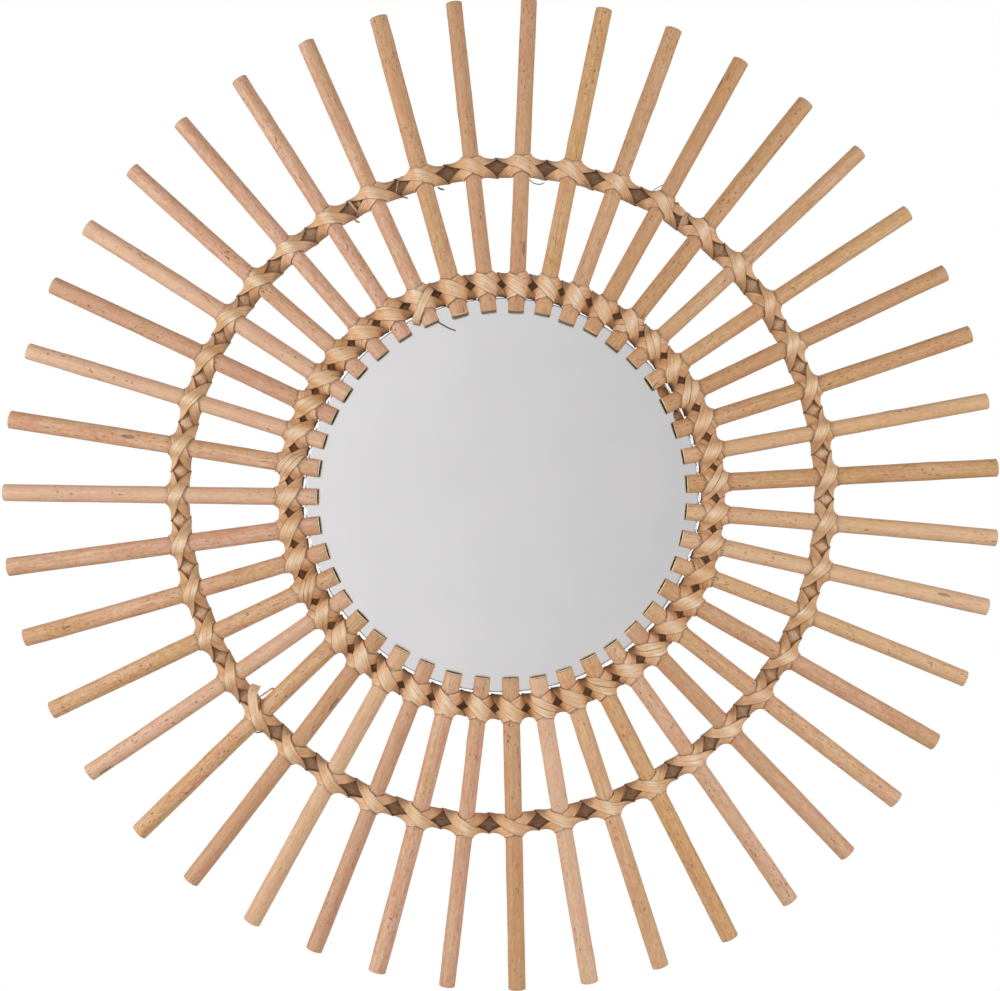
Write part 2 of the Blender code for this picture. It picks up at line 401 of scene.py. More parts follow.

# %% [markdown]
# ## The cut ends of the sticks
#
# A cut end is pale, with a brown pith and a darker rim. On the inner ends, over the glass,
# the side towards the glass is painted dark: painted shade for the shadowed gap between
# the stick and the glass. Towards the top of the mirror, where the ends face down, this
# painted shade reaches further forward and is more broken, and towards the bottom it
# shrinks. The camera sees these ends at a very flat angle, where any gloss would turn them
# grey, so they have none. The attribute `pith` holds where the pith is in the section.

# %% The finish of the cut ends
def cut_end_finish():
    """A cut end: a brown pith, a darker rim, and painted shade on the glass's side."""
    material, wires, shader = start_finish("cut_wicker_end", (0.66, 0.5, 0.33, 1.0),
                                           Specular_IOR_Level=0.0)
    grain = wires.attribute("grain")
    pith = wires.attribute("pith")
    shade_wander = wires.attribute("tone").part(2)
    from_pith = wires.node("ShaderNodeVectorMath", {"operation": "DISTANCE"},
                           {0: grain.stretch((0.0, 1.0, 1.0)), 1: pith}, "Value")
    frontwards = grain.part(2) - pith.part(2)
    pores = grain.stretch((0.0, 2600.0, 2600.0)).noise(3.0, 0.7)
    place = wires.place()
    height = place.part(2)
    # painted shade: dark on the glass's side of each inner end, further forward towards the top
    # of the mirror, less towards the bottom, shifted a little for each stick
    out_of_shade = frontwards + pores * 0.0016 - shade_wander * 0.0014 - height * 0.022
    painted_shade = out_of_shade.fade(0.0006, -0.0002) * place.length().fade(0.14, 0.12)
    base = painted(
        pores.fade(0.40, 0.70).mix(colour(250, 230, 196), colour(206, 172, 132)),
        (from_pith.fade(0.0010, 0.0006) * 0.7, (140, 104, 72)),
        (from_pith.fade(0.0037, 0.0043) * 0.6, (122, 90, 62)),
        # the painted shade, near black, broken up by the pores towards the top
        (painted_shade * (0.97 - height.fade(0.05, 0.10) * pores * 0.7), (28, 21, 17)))
    feed(wires, shader, base, 0.75 + pores * 0.1, pores, 0.0002)
    return material


cut_wicker_end = cut_end_finish()
print("finish:", cut_wicker_end.name)

# %% [markdown]
# ## Selecting before an operator
#
# Operators act on all that is selected, and loading the frame leaves its solids selected.
# So everything is deselected before a new primitive is added, and in edit mode the faces
# or edges are chosen by a test on their place or direction.

# %% Selecting by a test
def clear_selection():
    """Nothing selected, in object mode."""
    if bpy.context.mode != "OBJECT":
        bpy.ops.object.mode_set(mode="OBJECT")
    bpy.ops.object.select_all(action="DESELECT")


def pick(obj):
    """This object alone selected, and active."""
    clear_selection()
    obj.select_set(True)
    bpy.context.view_layer.objects.active = obj


def new_object(name, data):
    """A new object in the scene."""
    made = bpy.data.objects.new(name, data)
    bpy.context.scene.collection.objects.link(made)
    return made


def choose(obj, kind, test):
    """In edit mode, select only the edges or the faces that pass a test."""
    bpy.ops.object.mode_set(mode="EDIT")
    bpy.ops.mesh.select_mode(type=kind)
    bpy.ops.mesh.select_all(action="DESELECT")
    mesh = bmesh.from_edit_mesh(obj.data)
    for part in (mesh.edges if kind == "EDGE" else mesh.faces):
        if test(part):
            part.select_set(True)
    bmesh.update_edit_mesh(obj.data)


clear_selection()
print("selected:", len(bpy.context.selected_objects))

# %% [markdown]
# ## Points, shading and modifiers
#
# Some shapes need every point moved a little, and that is quickest with all of a mesh's
# points in one array. What a finish needs to know about a point is stored with it as an
# attribute. Soft shading and applied modifiers close off every piece.

# %% Helpers for meshes
def coordinates(mesh):
    """Places of all corners of a mesh, as an array."""
    points = np.empty(len(mesh.vertices) * 3)
    mesh.vertices.foreach_get("co", points)
    return points.reshape(-1, 3)


def set_coordinates(mesh, points):
    """Put all corners of a mesh at new places."""
    mesh.vertices.foreach_set("co", points.ravel())
    mesh.update()


def set_vectors(mesh, name, vectors):
    """Store a vector for each corner of a mesh under a name."""
    attribute = mesh.attributes.new(name, "FLOAT_VECTOR", "POINT")
    attribute.data.foreach_set("vector", np.ascontiguousarray(vectors, float).ravel())


def smooth(obj, angle=40.0):
    """Soft shading where faces meet at less than an angle in degrees."""
    pick(obj)
    bpy.ops.object.shade_smooth_by_angle(angle=math.radians(angle))


def apply_modifier(obj, kind, **settings):
    """Add a modifier, set it and apply it."""
    pick(obj)
    modifier = obj.modifiers.new(kind.title(), kind)
    for key, value in settings.items():
        setattr(modifier, key, value)
    bpy.ops.object.modifier_apply(modifier=modifier.name)


print("helpers:", smooth.__name__, apply_modifier.__name__)

# %% [markdown]
# ## One stick as a pattern for all
#
# A stick is a round rod, sawn square at both ends, and the saw leaves a small worn edge.
# It is modelled once: a cylinder, a ring inset in both ends, a bevel along the sharp
# edges, and cuts along its length so that it can bend. The cap is inset before the
# bevel, so that the cut face keeps an even border.

# %% Modelling the pattern stick
STICK_SIDES = 24
STICK_CUTS = 46
PATTERN_LENGTH = 0.1565
EDGE_WEAR = 0.00028
CAP_BORDER = 0.45
PITH_BORDER = 0.30

clear_selection()
bpy.ops.mesh.primitive_cylinder_add(
    vertices=STICK_SIDES, radius=mean_radius, depth=PATTERN_LENGTH)
pattern = bpy.context.active_object
choose(pattern, "FACE", lambda face: abs(face.normal.z) > 0.9)
bpy.ops.mesh.inset(thickness=mean_radius * CAP_BORDER)
bpy.ops.mesh.inset(thickness=mean_radius * PITH_BORDER)


def on_the_rim(edge):
    """True for an edge of the outer rim of either end."""
    return all(abs(math.hypot(v.co.x, v.co.y) - mean_radius) < 1e-5 for v in edge.verts) and (
        abs(edge.verts[0].co.z - edge.verts[1].co.z) < 1e-6)


choose(pattern, "EDGE", on_the_rim)
bpy.ops.mesh.bevel(offset=EDGE_WEAR, segments=2, affect="EDGES")
choose(pattern, "EDGE", lambda edge: edge.calc_length() > PATTERN_LENGTH * 0.9)
bpy.ops.mesh.subdivide(number_cuts=STICK_CUTS)
clear_selection()
pattern.data.materials.append(peeled_wicker)
pattern.data.materials.append(cut_wicker_end)
for face in pattern.data.polygons:
    face.material_index = int(abs(face.normal.z) > 0.3)
print("pattern stick:", len(pattern.data.polygons), "faces")

# %% [markdown]
# ## Forty-three sticks from the pattern
#
# No two sticks are the same. Each copy is scaled to its solid's length and thickness and
# then loses its perfect shape: it bows a little away from the two points where the hoops
# hold it, its section is slightly oval, and it swells faintly where a bud grew. The bow is
# a parabola that is zero at both hoops, so the strips still lie tight on every stick.

# %% What makes each stick uneven
ANY_PHASE = 6.3
SIDE_BOW = 0.00034
FRONT_BOW = 0.0002
BUD_LENGTH = 0.004


def swelling(share, turn, length, chance):
    """Thickness at each point of a stick, where 1 is round and even."""
    thickness = 1.0 - 0.012 * (1.0 + np.cos(2.0 * turn + chance.uniform(0.0, ANY_PHASE)))
    for waves in (3.0, 7.0, 16.0):
        phase = chance.uniform(0.0, ANY_PHASE) + np.sin(turn + waves)
        thickness -= (0.030 / waves) * (1.0 + np.sin(waves * 2.0 * math.pi * share + phase))
    for _ in range(chance.choice((0, 1, 1, 2))):
        bud, side = chance.uniform(0.1, 0.95), chance.uniform(0.0, ANY_PHASE)
        thickness += 0.055 * np.exp(-((share - bud) * length / BUD_LENGTH) ** 2) * (
            0.5 + 0.5 * np.cos(turn - side))
    return thickness


def bow(middle, chance):
    """How far each point of a stick's axis moves to the side and to the front."""
    between = (np.hypot(middle[:, 0], middle[:, 2]) - inner["radii"].mean()) / (
        outer["radii"].mean() - inner["radii"].mean())
    amounts = []
    for most in (SIDE_BOW, FRONT_BOW):
        amounts.append(max(-most, min(most, chance.gauss(0.0, most / 2.0))))
    return [amount * between * (between - 1.0) for amount in amounts]


print("a stick bows", SIDE_BOW * MILLIMETRES, "mm sideways at most")

# %% [markdown]
# ## What each stick carries for its finish
#
# Each stick gets its own stretch of the grain and its own tone: how pale it is, how pink
# and how spotted. On this mirror the sticks at the left are rather pinker, those at the
# right yellower, and those at the upper left and lower right a little paler. So chance sets
# the tone, and a small lean is added to it.

# %% The grain and tone of a stick
PITH_STRAY = 0.0006
PALE_LEAN = 0.17
PINK_LEAN = 0.34


def store_grain(mesh, along, section, chance):
    """Store each point's place in the wood, and where the pith is."""
    start, shift = chance.uniform(0.0, 40.0), chance.uniform(0.0, 3.0)
    set_vectors(mesh, "grain", np.column_stack((along + start, section + shift)))
    pith = [shift + chance.uniform(-PITH_STRAY, PITH_STRAY) for _ in range(2)]
    set_vectors(mesh, "pith", np.tile([0.0, *pith], (len(along), 1)))


def store_tone(mesh, stick, chance):
    """Store how pale, how pink and how spotted a stick is."""
    bearing = math.atan2(stick["end"].x, stick["end"].z)
    leans = (-PALE_LEAN * math.sin(2.0 * bearing), -PINK_LEAN * math.sin(bearing), 0.0)
    tone = np.clip([chance.uniform(0.0, 1.0) + lean for lean in leans], 0.0, 1.0)
    set_vectors(mesh, "tone", np.tile(tone, (len(mesh.vertices), 1)))


print("the pith strays", PITH_STRAY * MILLIMETRES, "mm at most")

# %% [markdown]
# ## Placing the sticks
#
# A copy of the pattern is moved point by point: first along the axis measured on the solid
# stick, then out from it by the stick's own thickness and bow. A stick starts 2 % thicker
# than its solid, because the unevenness only takes away, and the two agree on the whole.
# Once all are placed, the pattern is deleted.

# %% Bending and placing the sticks
SNUG_FIT = 1.02
STICK_SEED = 7


def stick_mesh(stick, chance):
    """The pattern, bent and placed like one stick."""
    mesh = pattern.data.copy()
    points = coordinates(mesh)
    reach = stick["end"] - stick["start"]
    share = points[:, 2] / PATTERN_LENGTH + 0.5
    across, front = points[:, 0], points[:, 1]
    scale = stick["radius"] / mean_radius * SNUG_FIT * swelling(
        share, np.arctan2(front, across), reach.length, chance)
    middle = np.outer(share, reach) + np.array(stick["start"])
    sideways, frontwards = bow(middle, chance)
    placed = middle + np.outer(across * scale + sideways, FRONT.cross(stick["along"]))
    placed += np.outer(front * scale + frontwards, FORWARD)
    set_coordinates(mesh, placed)
    store_grain(mesh, share * reach.length, points[:, :2], chance)
    store_tone(mesh, stick, chance)
    return mesh


chance = random.Random(STICK_SEED)
for stick in sticks:
    rod = new_object(stick["name"].replace("stick", "wicker_stick"), stick_mesh(stick, chance))
    smooth(rod)
    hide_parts(stick["name"])
    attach(rod, "root")
bpy.data.objects.remove(pattern, do_unlink=True)
print("sticks placed:", STICK_COUNT)

# %% [markdown]
# ## Cane hoops
#
# The hoops are bent cane with some of its brown skin left on. Little of them shows, only a
# small diamond between each pair of sticks. There the skin is fibrous and pinkish brown.
# Towards the top and the bottom of the ring it is painted much darker: painted shade, where
# the sticks cut off the light from the sides. The `grain` coordinates of a hoop run round
# the ring, so the fibres do too.

# %% The finish of the hoops
def cane_finish():
    material, wires, shader = start_finish("brown_cane", (0.25, 0.14, 0.08, 1.0))
    grain = wires.attribute("grain")
    broad = grain.stretch((45.0, 200.0, 200.0)).noise(2.0)
    fibres = grain.stretch((190.0, 2400.0, 2400.0)).noise(4.0, 0.7, 0.3)
    threads = grain.stretch((420.0, 5200.0, 5200.0), (5.0, 0.0, 0.0)).noise(2.0, 0.6)
    height = wires.place().part(2).size()
    # painted shade: darker towards the top and the bottom of the ring, where the sticks keep
    # off the side light; the fibres darken more there too
    shaded_top_and_bottom = (height + (broad - 0.5) * 0.08).fade(0.075, 0.165)
    base = painted(
        broad.fade(0.36, 0.66).mix(colour(238, 188, 144), colour(248, 206, 164)),
        (shaded_top_and_bottom * 0.50, (138, 92, 66)),
        (fibres.fade(0.48, 0.64) * (0.16 + shaded_top_and_bottom * 0.40), (120, 78, 54)),
        (fibres.fade(0.44, 0.28) * 0.45, (236, 204, 174)),
        (threads.fade(0.55, 0.72) * 0.40, (92, 62, 44)))
    feed(wires, shader, base, 0.55 + fibres * 0.25, fibres + threads * 0.4, 0.0007)
    return material


brown_cane = cane_finish()
print("finish:", brown_cane.name)

# %% [markdown]
# ## The shape of the hoops
#
# A torus gives the bent rod. Its points then move to the measured course of the solid, and
# seven and eleven shallow ridges round the section, which waver along the way, take away
# the look of a turned ring.

# %% Modelling the hoops
HOOP_STEPS = 8 * STICK_COUNT
HOOP_SIDES = 20


def make_hoop(ring, name):
    """A bent cane in the place of a solid hoop."""
    mean = ring["radii"].mean()
    clear_selection()
    bpy.ops.mesh.primitive_torus_add(
        major_radius=mean, minor_radius=ring["wide"],
        major_segments=HOOP_STEPS, minor_segments=HOOP_SIDES,
        location=(0.0, ring["y"], 0.0), rotation=(math.pi / 2.0, 0.0, 0.0))
    hoop = bpy.context.active_object
    hoop.name = name
    bpy.ops.object.transform_apply(location=True, rotation=True, scale=True)
    points = coordinates(hoop.data)
    angle = np.arctan2(points[:, 0], points[:, 2])
    from_start = (angle - ring["angles"][0]) % (2.0 * math.pi)
    over = np.hypot(points[:, 0], points[:, 2]) - mean
    depth = points[:, 1] - ring["y"]
    set_vectors(hoop.data, "grain", np.column_stack((from_start * mean, over, depth)))

    turn = np.arctan2(depth, over)
    ridges = 1.0 - 0.012 * (1.0 + np.sin(7.0 * turn + 0.6 * np.sin(9.0 * angle)))
    ridges -= 0.008 * (1.0 + np.sin(11.0 * turn - 2.0 + 0.9 * np.sin(14.0 * angle)))
    distance = radius_at(ring, angle) + over * ridges
    set_coordinates(hoop.data, np.column_stack((
        distance * np.sin(angle), ring["y"] + depth * ridges * ring["deep"] / ring["wide"],
        distance * np.cos(angle))))
    hoop.data.materials.append(brown_cane)
    smooth(hoop, 60.0)
    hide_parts(ring["node"])
    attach(hoop, "root")
    print(hoop.name, len(hoop.data.polygons), "faces")


make_hoop(outer, "outer_cane_hoop")
make_hoop(inner, "inner_cane_hoop")

# %% [markdown]
# ## Strips of peel
#
# The strips are flat, thin peel, wound wet and pulled tight. Their colour is the palest on
# the mirror, with a soft gloss and fine lengthwise grain. Their edges are darkened all along
# with painted shadow, broken up by the streaks. The pattern has to follow each strip round
# sticks and hoops, so it reads the strip's UV map: u is the way along it and v the way
# across, both in metres. The attribute `strip` holds the place across from 0 to 1, and
# where the strip is really two or three narrow ones side by side. The attribute `crest` is
# 1 where the strip lies on the front of a stick: there it gets a pale painted highlight and
# less roughness, and the painted edge shadow fades. Two pale shades serve the long strips,
# and two dark ones some of the loose ends.

# %% The finish of the strips
def peel_finish(name, pale, tan):
    material, wires, shader = start_finish(name, (0.68, 0.47, 0.27, 1.0),
                                           Specular_IOR_Level=0.5)
    uv = wires.node("ShaderNodeUVMap", {"uv_map": "along_and_across"}, {})
    strip = wires.attribute("strip")
    across, two, three = (strip.part(axis) for axis in range(3))
    crest = wires.attribute("crest", "Fac")

    lengths = uv.stretch((13.0, 40.0, 1.0)).noise(1.0)
    clouds = uv.stretch((130.0, 300.0, 1.0), (4.0, 1.0, 0.0)).noise(2.0)
    streaks = uv.stretch((45.0, 1500.0, 1.0), (9.0, 3.0, 0.0)).noise(3.0, 0.65)
    fibres = uv.stretch((140.0, 5200.0, 1.0), (2.0, 7.0, 0.0)).noise(2.0, 0.6)
    stains = uv.stretch((240.0, 420.0, 1.0), (6.0, 2.0, 0.0)).noise(2.0)

    edge = across.least(1.0 - across)
    # painted shadow along both edges of a strip, broken up by the streaks, fainter on the
    # crests
    edge_shadow = edge.fade(0.075, 0.020) * streaks.fade(0.22, 0.50)
    from_middle = (across - 0.5).size()
    from_thirds = (from_middle - 1.0 / 6.0).size()
    seams = (from_middle.fade(0.035, 0.012) * two).most(from_thirds.fade(0.035, 0.012) * three)
    # painted highlight on the crests, where the strip lies over the front of a stick
    crest_highlight = crest * (0.45 + 0.75 * streaks.fade(0.60, 0.40)) * (0.25 + clouds.fade(0.38, 0.60))

    base = painted(
        lengths.fade(0.34, 0.66).mix(colour(*pale), colour(*tan)),
        (clouds.fade(0.50, 0.70) * 0.45, (204, 148, 108)),
        (clouds.fade(0.44, 0.30) * 0.35, (232, 194, 160)),
        (streaks.fade(0.47, 0.68) * 0.52, (182, 134, 96)),
        (streaks.fade(0.48, 0.28) * 0.30, (238, 214, 184)),
        (fibres.fade(0.52, 0.72) * 0.32, (160, 116, 80)),
        (crest_highlight * 0.66, (252, 236, 210)),
        (edge_shadow * (0.76 - crest * 0.40), (112, 70, 42)),
        (seams * clouds.fade(0.36, 0.60) * 0.85, (96, 62, 40)),
        (stains.fade(0.66, 0.74) * 0.5, (150, 104, 66)))
    relief = streaks * 0.6 + fibres * 0.35 - seams * 1.5
    gloss = 0.42 + streaks * 0.18 - crest_highlight * 0.12 + seams * 0.3
    feed(wires, shader, base, gloss, relief, 0.00016)
    return material


pale_peel = peel_finish("pale_peel", (239, 199, 156), (228, 180, 130))
warm_peel = peel_finish("warm_peel", (237, 193, 150), (223, 171, 118))
dark_peel = peel_finish("dark_peel", (208, 150, 84), (186, 128, 68))
skin_peel = peel_finish("skin_peel", (128, 88, 66), (94, 66, 52))
print("finishes:", *(peel.name for peel in (pale_peel, warm_peel, dark_peel, skin_peel)))

# %% [markdown]
# ## The path of a strip
#
# Between two sticks a strip dives round the back of the hoop, and it comes up on the other
# side to cross the next stick. The strip lies straight across what it touches: along the
# stick where it lies on the stick, and along the hoop where it lies on the hoop. So a row
# of points across the strip is laid at many steps of its way, turned from one direction to
# the other in between. This is a shape that no primitive or operator gives, so its points
# are computed. On a stick the strip lies from 36 degrees in front of one side, over the
# crest, to 36 degrees in front of the other.

# %% Rows where a strip lies on a stick
LEAVES_AT = 36.0
ROWS_ON_STICK = 14
ROWS_FREE = 8
ROWS_ON_HOOP = 20
ROWS = ROWS_ON_STICK + ROWS_ON_HOOP + 2 * ROWS_FREE
LOOSE_LIFT = 0.0002
SLOPE_SPREAD = 2.0


def rows_on_stick(ring, index, way, strip, chance):
    """Middle, half width vector and width of the rows over the front of one stick.

    way is 1 for a strip that crosses each stick from the outer side to the inner side as
    it goes clockwise, and -1 for the other.
    """
    stick = sticks[index]
    along, across = np.array(stick["along"]), np.array(stick["across"])
    slope = math.radians(strip["slope"] + chance.gauss(0.0, SLOPE_SPREAD))
    slip = chance.gauss(0.0, strip["slip"]) + sum(
        wave * math.cos((turns + 1) * ring["angles"][index])
        for turns, wave in enumerate(strip["slip_waves"]))
    width = strip["width"] * chance.uniform(0.93, 1.06)
    half = -along * width / 2.0 / math.cos(slope)
    reach = stick["radius"] + LOOSE_LIFT
    rows = []
    for turn in np.radians(np.linspace(180.0 - LEAVES_AT, LEAVES_AT, ROWS_ON_STICK)):
        outward = across * math.cos(turn) + FORWARD * math.sin(turn)
        run = (math.pi / 2.0 - turn) * reach
        middle = ring["at"][index] + outward * reach + along * (
            slip - way * run * math.tan(slope))
        rows.append((middle, half, width))
    return rows


print("rows in one turn of a strip:", ROWS)

# %% [markdown]
# ## Round the back of the hoop
#
# After each stick the strip goes round the back of the hoop, from just in front of one side
# to just in front of the other. Where little room is left between two sticks, it is
# squeezed narrower. It stands off the wood by a little slack, and a little more on the side
# towards the glass.

# %% Rows where a strip lies on the hoop
HOOP_TURN = (-12.0, 192.0)
DRIFT_SPREAD = 0.0003


def rows_on_hoop(ring, index, way, strip, chance):
    """The same for the rows round the back of the hoop, after one stick."""
    start = ring["angles"][index]
    end = ring["angles"][(index + 1) % STICK_COUNT]
    if end < start:
        end += 2.0 * math.pi
    angle = (start + end) / 2.0
    out = np.array((math.sin(angle), 0.0, math.cos(angle)))
    side = np.array((math.cos(angle), 0.0, -math.sin(angle)))
    radius = float(radius_at(ring, angle))
    gap = (end - start) * radius - 2.0 * sticks[index]["radius"]
    width = min(strip["width"], gap * strip["share_of_gap"])
    drift = chance.gauss(0.0, DRIFT_SPREAD)
    slack = strip["slack"] * chance.uniform(0.5, 1.5)
    rows = []
    for step, turn in enumerate(np.radians(np.linspace(*HOOP_TURN, ROWS_ON_HOOP))):
        side_out = -way * math.cos(turn)
        stand_off = slack + strip["sag"] * (side_out < 0.0)
        lifted = strip["shoulder"] * max(0.0, 2.0 * abs(math.cos(turn)) - 1.0)
        along_hoop = strip["reach"] * (2.0 * step / (ROWS_ON_HOOP - 1) - 1.0) + drift
        middle = out * (radius + side_out * (ring["wide"] + stand_off)) + side * along_hoop
        middle = middle - FORWARD * (math.sin(turn) * (ring["deep"] + LOOSE_LIFT) - lifted)
        middle[1] += ring["y"]
        rows.append((middle, -way * side * width / 2.0, width))
    return rows


print("a strip turns round the hoop from", *HOOP_TURN, "degrees")

# %% [markdown]
# ## The whole way of a strip
#
# The rows on sticks and hoop are the fixed stations. Between them the strip hangs free, and
# there its rows are first laid evenly from one station to the next, middle, direction and
# width alike.

# %% Laying a strip loosely on its way
def lay_rows(ring, way, strip, chance):
    """Middle of every row of a strip, half its width as a vector, and its widths."""
    turns = [rows_on_stick(ring, index, way, strip, chance)
             + rows_on_hoop(ring, index, way, strip, chance) for index in range(STICK_COUNT)]
    return [add_free_rows(np.array([[row[item] for row in turn] for turn in turns]))
            for item in range(3)]


def bridge(first, second):
    """Values that lead evenly from the first ones to the second ones."""
    steps = np.arange(1, ROWS_FREE + 1) / (ROWS_FREE + 1.0)
    steps = steps.reshape((1, ROWS_FREE) + (1,) * (first.ndim - 1))
    return first[:, None] * (1.0 - steps) + second[:, None] * steps


def add_free_rows(values):
    """Values of all rows of a strip, with those between stick and hoop and back added."""
    on_stick, on_hoop = values[:, :ROWS_ON_STICK], values[:, ROWS_ON_STICK:]
    down = bridge(on_stick[:, -1], on_hoop[:, 0])
    up = bridge(on_hoop[:, -1], np.roll(on_stick[:, 0], -1, axis=0))
    whole = np.concatenate((on_stick, down, on_hoop, up), axis=1)
    return whole.reshape((STICK_COUNT * ROWS,) + whole.shape[2:])


print("rows in a whole strip:", STICK_COUNT * ROWS)

# %% [markdown]
# ## Pulling a strip tight
#
# A wound strip is under tension, so it takes the shortest way over the wood. That is
# imitated here in small steps: each point moves towards the middle of its neighbours along
# the strip, the row across stays straight and keeps its width, and whatever ends up inside
# a stick or a hoop is pushed back out to its surface.

# %% Keeping a strip out of the wood
STRIP_LIFT = 0.00006


def unit(vectors):
    """The same directions, each of length one."""
    return vectors / np.linalg.norm(vectors, axis=-1, keepdims=True)


def push_out_of_wood(points, ring, owners):
    """Move points that are inside their stick or the hoop out to the surface."""
    axis = np.array([stick["along"] for stick in sticks])[owners][:, None]
    centre = ring["at"][owners][:, None]
    radius = np.array([stick["radius"] for stick in sticks])[owners][:, None] + STRIP_LIFT
    away = points - centre
    away = away - (away * axis).sum(axis=-1, keepdims=True) * axis
    distance = np.linalg.norm(away, axis=-1)
    push = np.maximum(radius - distance, 0.0)
    points = points + away / distance[..., None] * push[..., None]

    flat = np.hypot(points[..., 0], points[..., 2])
    over = flat - radius_at(ring, np.arctan2(points[..., 0], points[..., 2]))
    depth = points[..., 1] - ring["y"]
    inside = np.hypot(over / (ring["wide"] + STRIP_LIFT), depth / (ring["deep"] + STRIP_LIFT))
    push = np.maximum(1.0 / np.maximum(inside, 0.05) - 1.0, 0.0)
    sideways = over * push / flat
    return points + np.stack((points[..., 0] * sideways, depth * push,
                              points[..., 2] * sideways), axis=-1)


print("strips lie", STRIP_LIFT * MILLIMETRES, "mm off the wood")

# %% [markdown]
# ## Which rows stay and which move
#
# Every row belongs to the stick that it is nearest to along the way. The rows on the crest
# of a stick and those behind the hoop are held, as friction holds them on the real strip.
# The slant of a row to the way of the strip says how long it has to be for the strip to
# keep its width, up to a limit where the strip twists sharply.

# %% Relaxing a strip onto the wood
PULLS = 24
PULL = 0.6
STRAIGHTEN = 0.65
HELD_ON_STICK = 3.5
HELD_BEHIND = 0.42 * ROWS_ON_HOOP
LEAST_SLANT = 0.62


def pull_tight(ring, rows, columns):
    """Grid of points of a strip, relaxed: row along the strip, column across it."""
    middles, halves, widths = rows
    shares = np.linspace(-1.0, 1.0, columns)
    grid = middles[:, None] + halves[:, None] * shares[None, :, None]
    turns, place = np.divmod(np.arange(len(middles)), ROWS)
    behind = ROWS_ON_STICK + ROWS_FREE + ROWS_ON_HOOP // 2
    owners = (turns + (place >= behind)) % STICK_COUNT
    held = np.abs(place - behind + 0.5) < HELD_BEHIND
    held |= np.abs(place - ROWS_ON_STICK / 2.0 + 0.5) < HELD_ON_STICK
    for _ in range(PULLS):
        pulled = 0.5 * (np.roll(grid, 1, axis=0) + np.roll(grid, -1, axis=0))
        pulled = (1.0 - PULL) * grid + PULL * pulled
        grid = np.where(held[:, None, None], grid, pulled)
        middle = grid.mean(axis=1)
        travel = unit(np.roll(middle, -1, axis=0) - np.roll(middle, 1, axis=0))
        row_direction = unit(grid[:, -1] - grid[:, 0])
        slant = np.linalg.norm(np.cross(travel, row_direction), axis=-1)
        length = widths / np.clip(slant, LEAST_SLANT, 1.0)
        straight = middle[:, None] + row_direction[:, None] * (
            shares[None, :, None] * length[:, None, None] / 2.0)
        grid = (1.0 - STRAIGHTEN) * grid + STRAIGHTEN * straight
        grid = push_out_of_wood(grid, ring, owners)
    return grid


print("pulls:", PULLS)

# %% [markdown]
# ## Laying one strip over the other
#
# The second strip crosses over the first, and it has to rise by the first one's thickness
# only where they meet. From each of its points a ray looks for the first strip. Where it
# finds it, the point has to rise, and the rise is then blurred outwards, so that the strip
# climbs and falls gently as a real one does.

# %% Rising over the strip below
STRIP_THICKNESS = 0.00042
STRIP_CLEARANCE = 0.00005
LOOK_FROM = 0.0016
LOOK_INTO = 0.0004
RISE_BLURS = 10


def surface_normals(grid):
    """Direction away from the wood at every point of a strip."""
    along = np.roll(grid, -1, axis=0) - np.roll(grid, 1, axis=0)
    across = np.gradient(grid, axis=1)
    return unit(np.cross(across, along))


def grid_faces(rows, columns):
    """Corner numbers of the four-sided faces of a grid that closes on itself."""
    row, column = np.meshgrid(np.arange(rows), np.arange(columns - 1), indexing="ij")
    first = row * columns + column
    ahead = (row + 1) % rows * columns + column
    return np.stack((first, first + 1, ahead + 1, ahead), axis=-1).reshape(-1, 4)


def rise_over(grid, normals, below):
    """How far each point of a strip has to rise to clear the strip below it."""
    tree = BVHTree.FromPolygons(below.reshape(-1, 3).tolist(),
                                grid_faces(*below.shape[:2]).tolist())
    raw = np.zeros(grid.shape[:2])
    for index in np.ndindex(raw.shape):
        normal = Vector(normals[index])
        origin = Vector(grid[index]) + normal * LOOK_FROM
        found, _, _, distance = tree.ray_cast(origin, -normal, LOOK_FROM + LOOK_INTO)
        if found is not None:
            raw[index] = LOOK_FROM - distance + STRIP_THICKNESS + STRIP_CLEARANCE
    rise = raw.copy()
    for _ in range(RISE_BLURS):
        rise = (np.roll(rise, 1, axis=0) + 2.0 * rise + np.roll(rise, -1, axis=0)) / 4.0
        padded = np.pad(rise, ((0, 0), (1, 1)), mode="edge")
        rise = (padded[:, :-2] + 2.0 * padded[:, 1:-1] + padded[:, 2:]) / 4.0
        rise = np.maximum(rise, raw)
    return rise


print("the second strip rises in", RISE_BLURS, "soft steps")

# %% [markdown]
# ## Seams and painted highlights
#
# The strips on the outer hoop are narrow and single. Those on the inner hoop are wider and
# now and then made of two or three narrow ones, which shows as dark seams over some of the
# sticks. The seams fade in and out along the strip. Each place where a strip lies on a
# stick gets a painted highlight of its own strength.

# %% Strands and crests of a strip
def strand_shares(rows, chance, chances):
    """How much a strip is two strands, and how much three, at every row."""
    wanted = [chance.choices((0, 2, 3), chances)[0] for _ in range(STICK_COUNT)]
    place = np.arange(rows) / ROWS - (ROWS_ON_STICK / 2.0) / ROWS
    shares = np.zeros((2, rows))
    for index, kind in enumerate(wanted):
        if kind:
            distance = np.abs((place - index + STICK_COUNT / 2.0) % STICK_COUNT
                              - STICK_COUNT / 2.0)
            shares[kind - 2] += np.clip(1.6 - 3.2 * distance, 0.0, 1.0)
    return shares


def crest_of(rows, chance):
    """1 where a row of a strip lies on the front of a stick, 0 from its flanks on."""
    place = np.arange(rows)
    off = np.abs(place % ROWS - (ROWS_ON_STICK - 1) / 2.0)
    # how strong the painted highlight is on each stick's crest
    strength = np.array([chance.uniform(0.35, 1.0) for _ in range(STICK_COUNT)])
    return np.exp(-(off / 3.2) ** 2) * strength[place // ROWS]


print("a strip has", STICK_COUNT, "crests")

# %% [markdown]
# ## A strip as a mesh
#
# The relaxed grid of points becomes a band that closes on itself. Its UV map grows with the
# way that the band has travelled, so the grain isn't stretched where the rows are far
# apart, and a Solidify modifier gives the band its thickness, away from the wood.

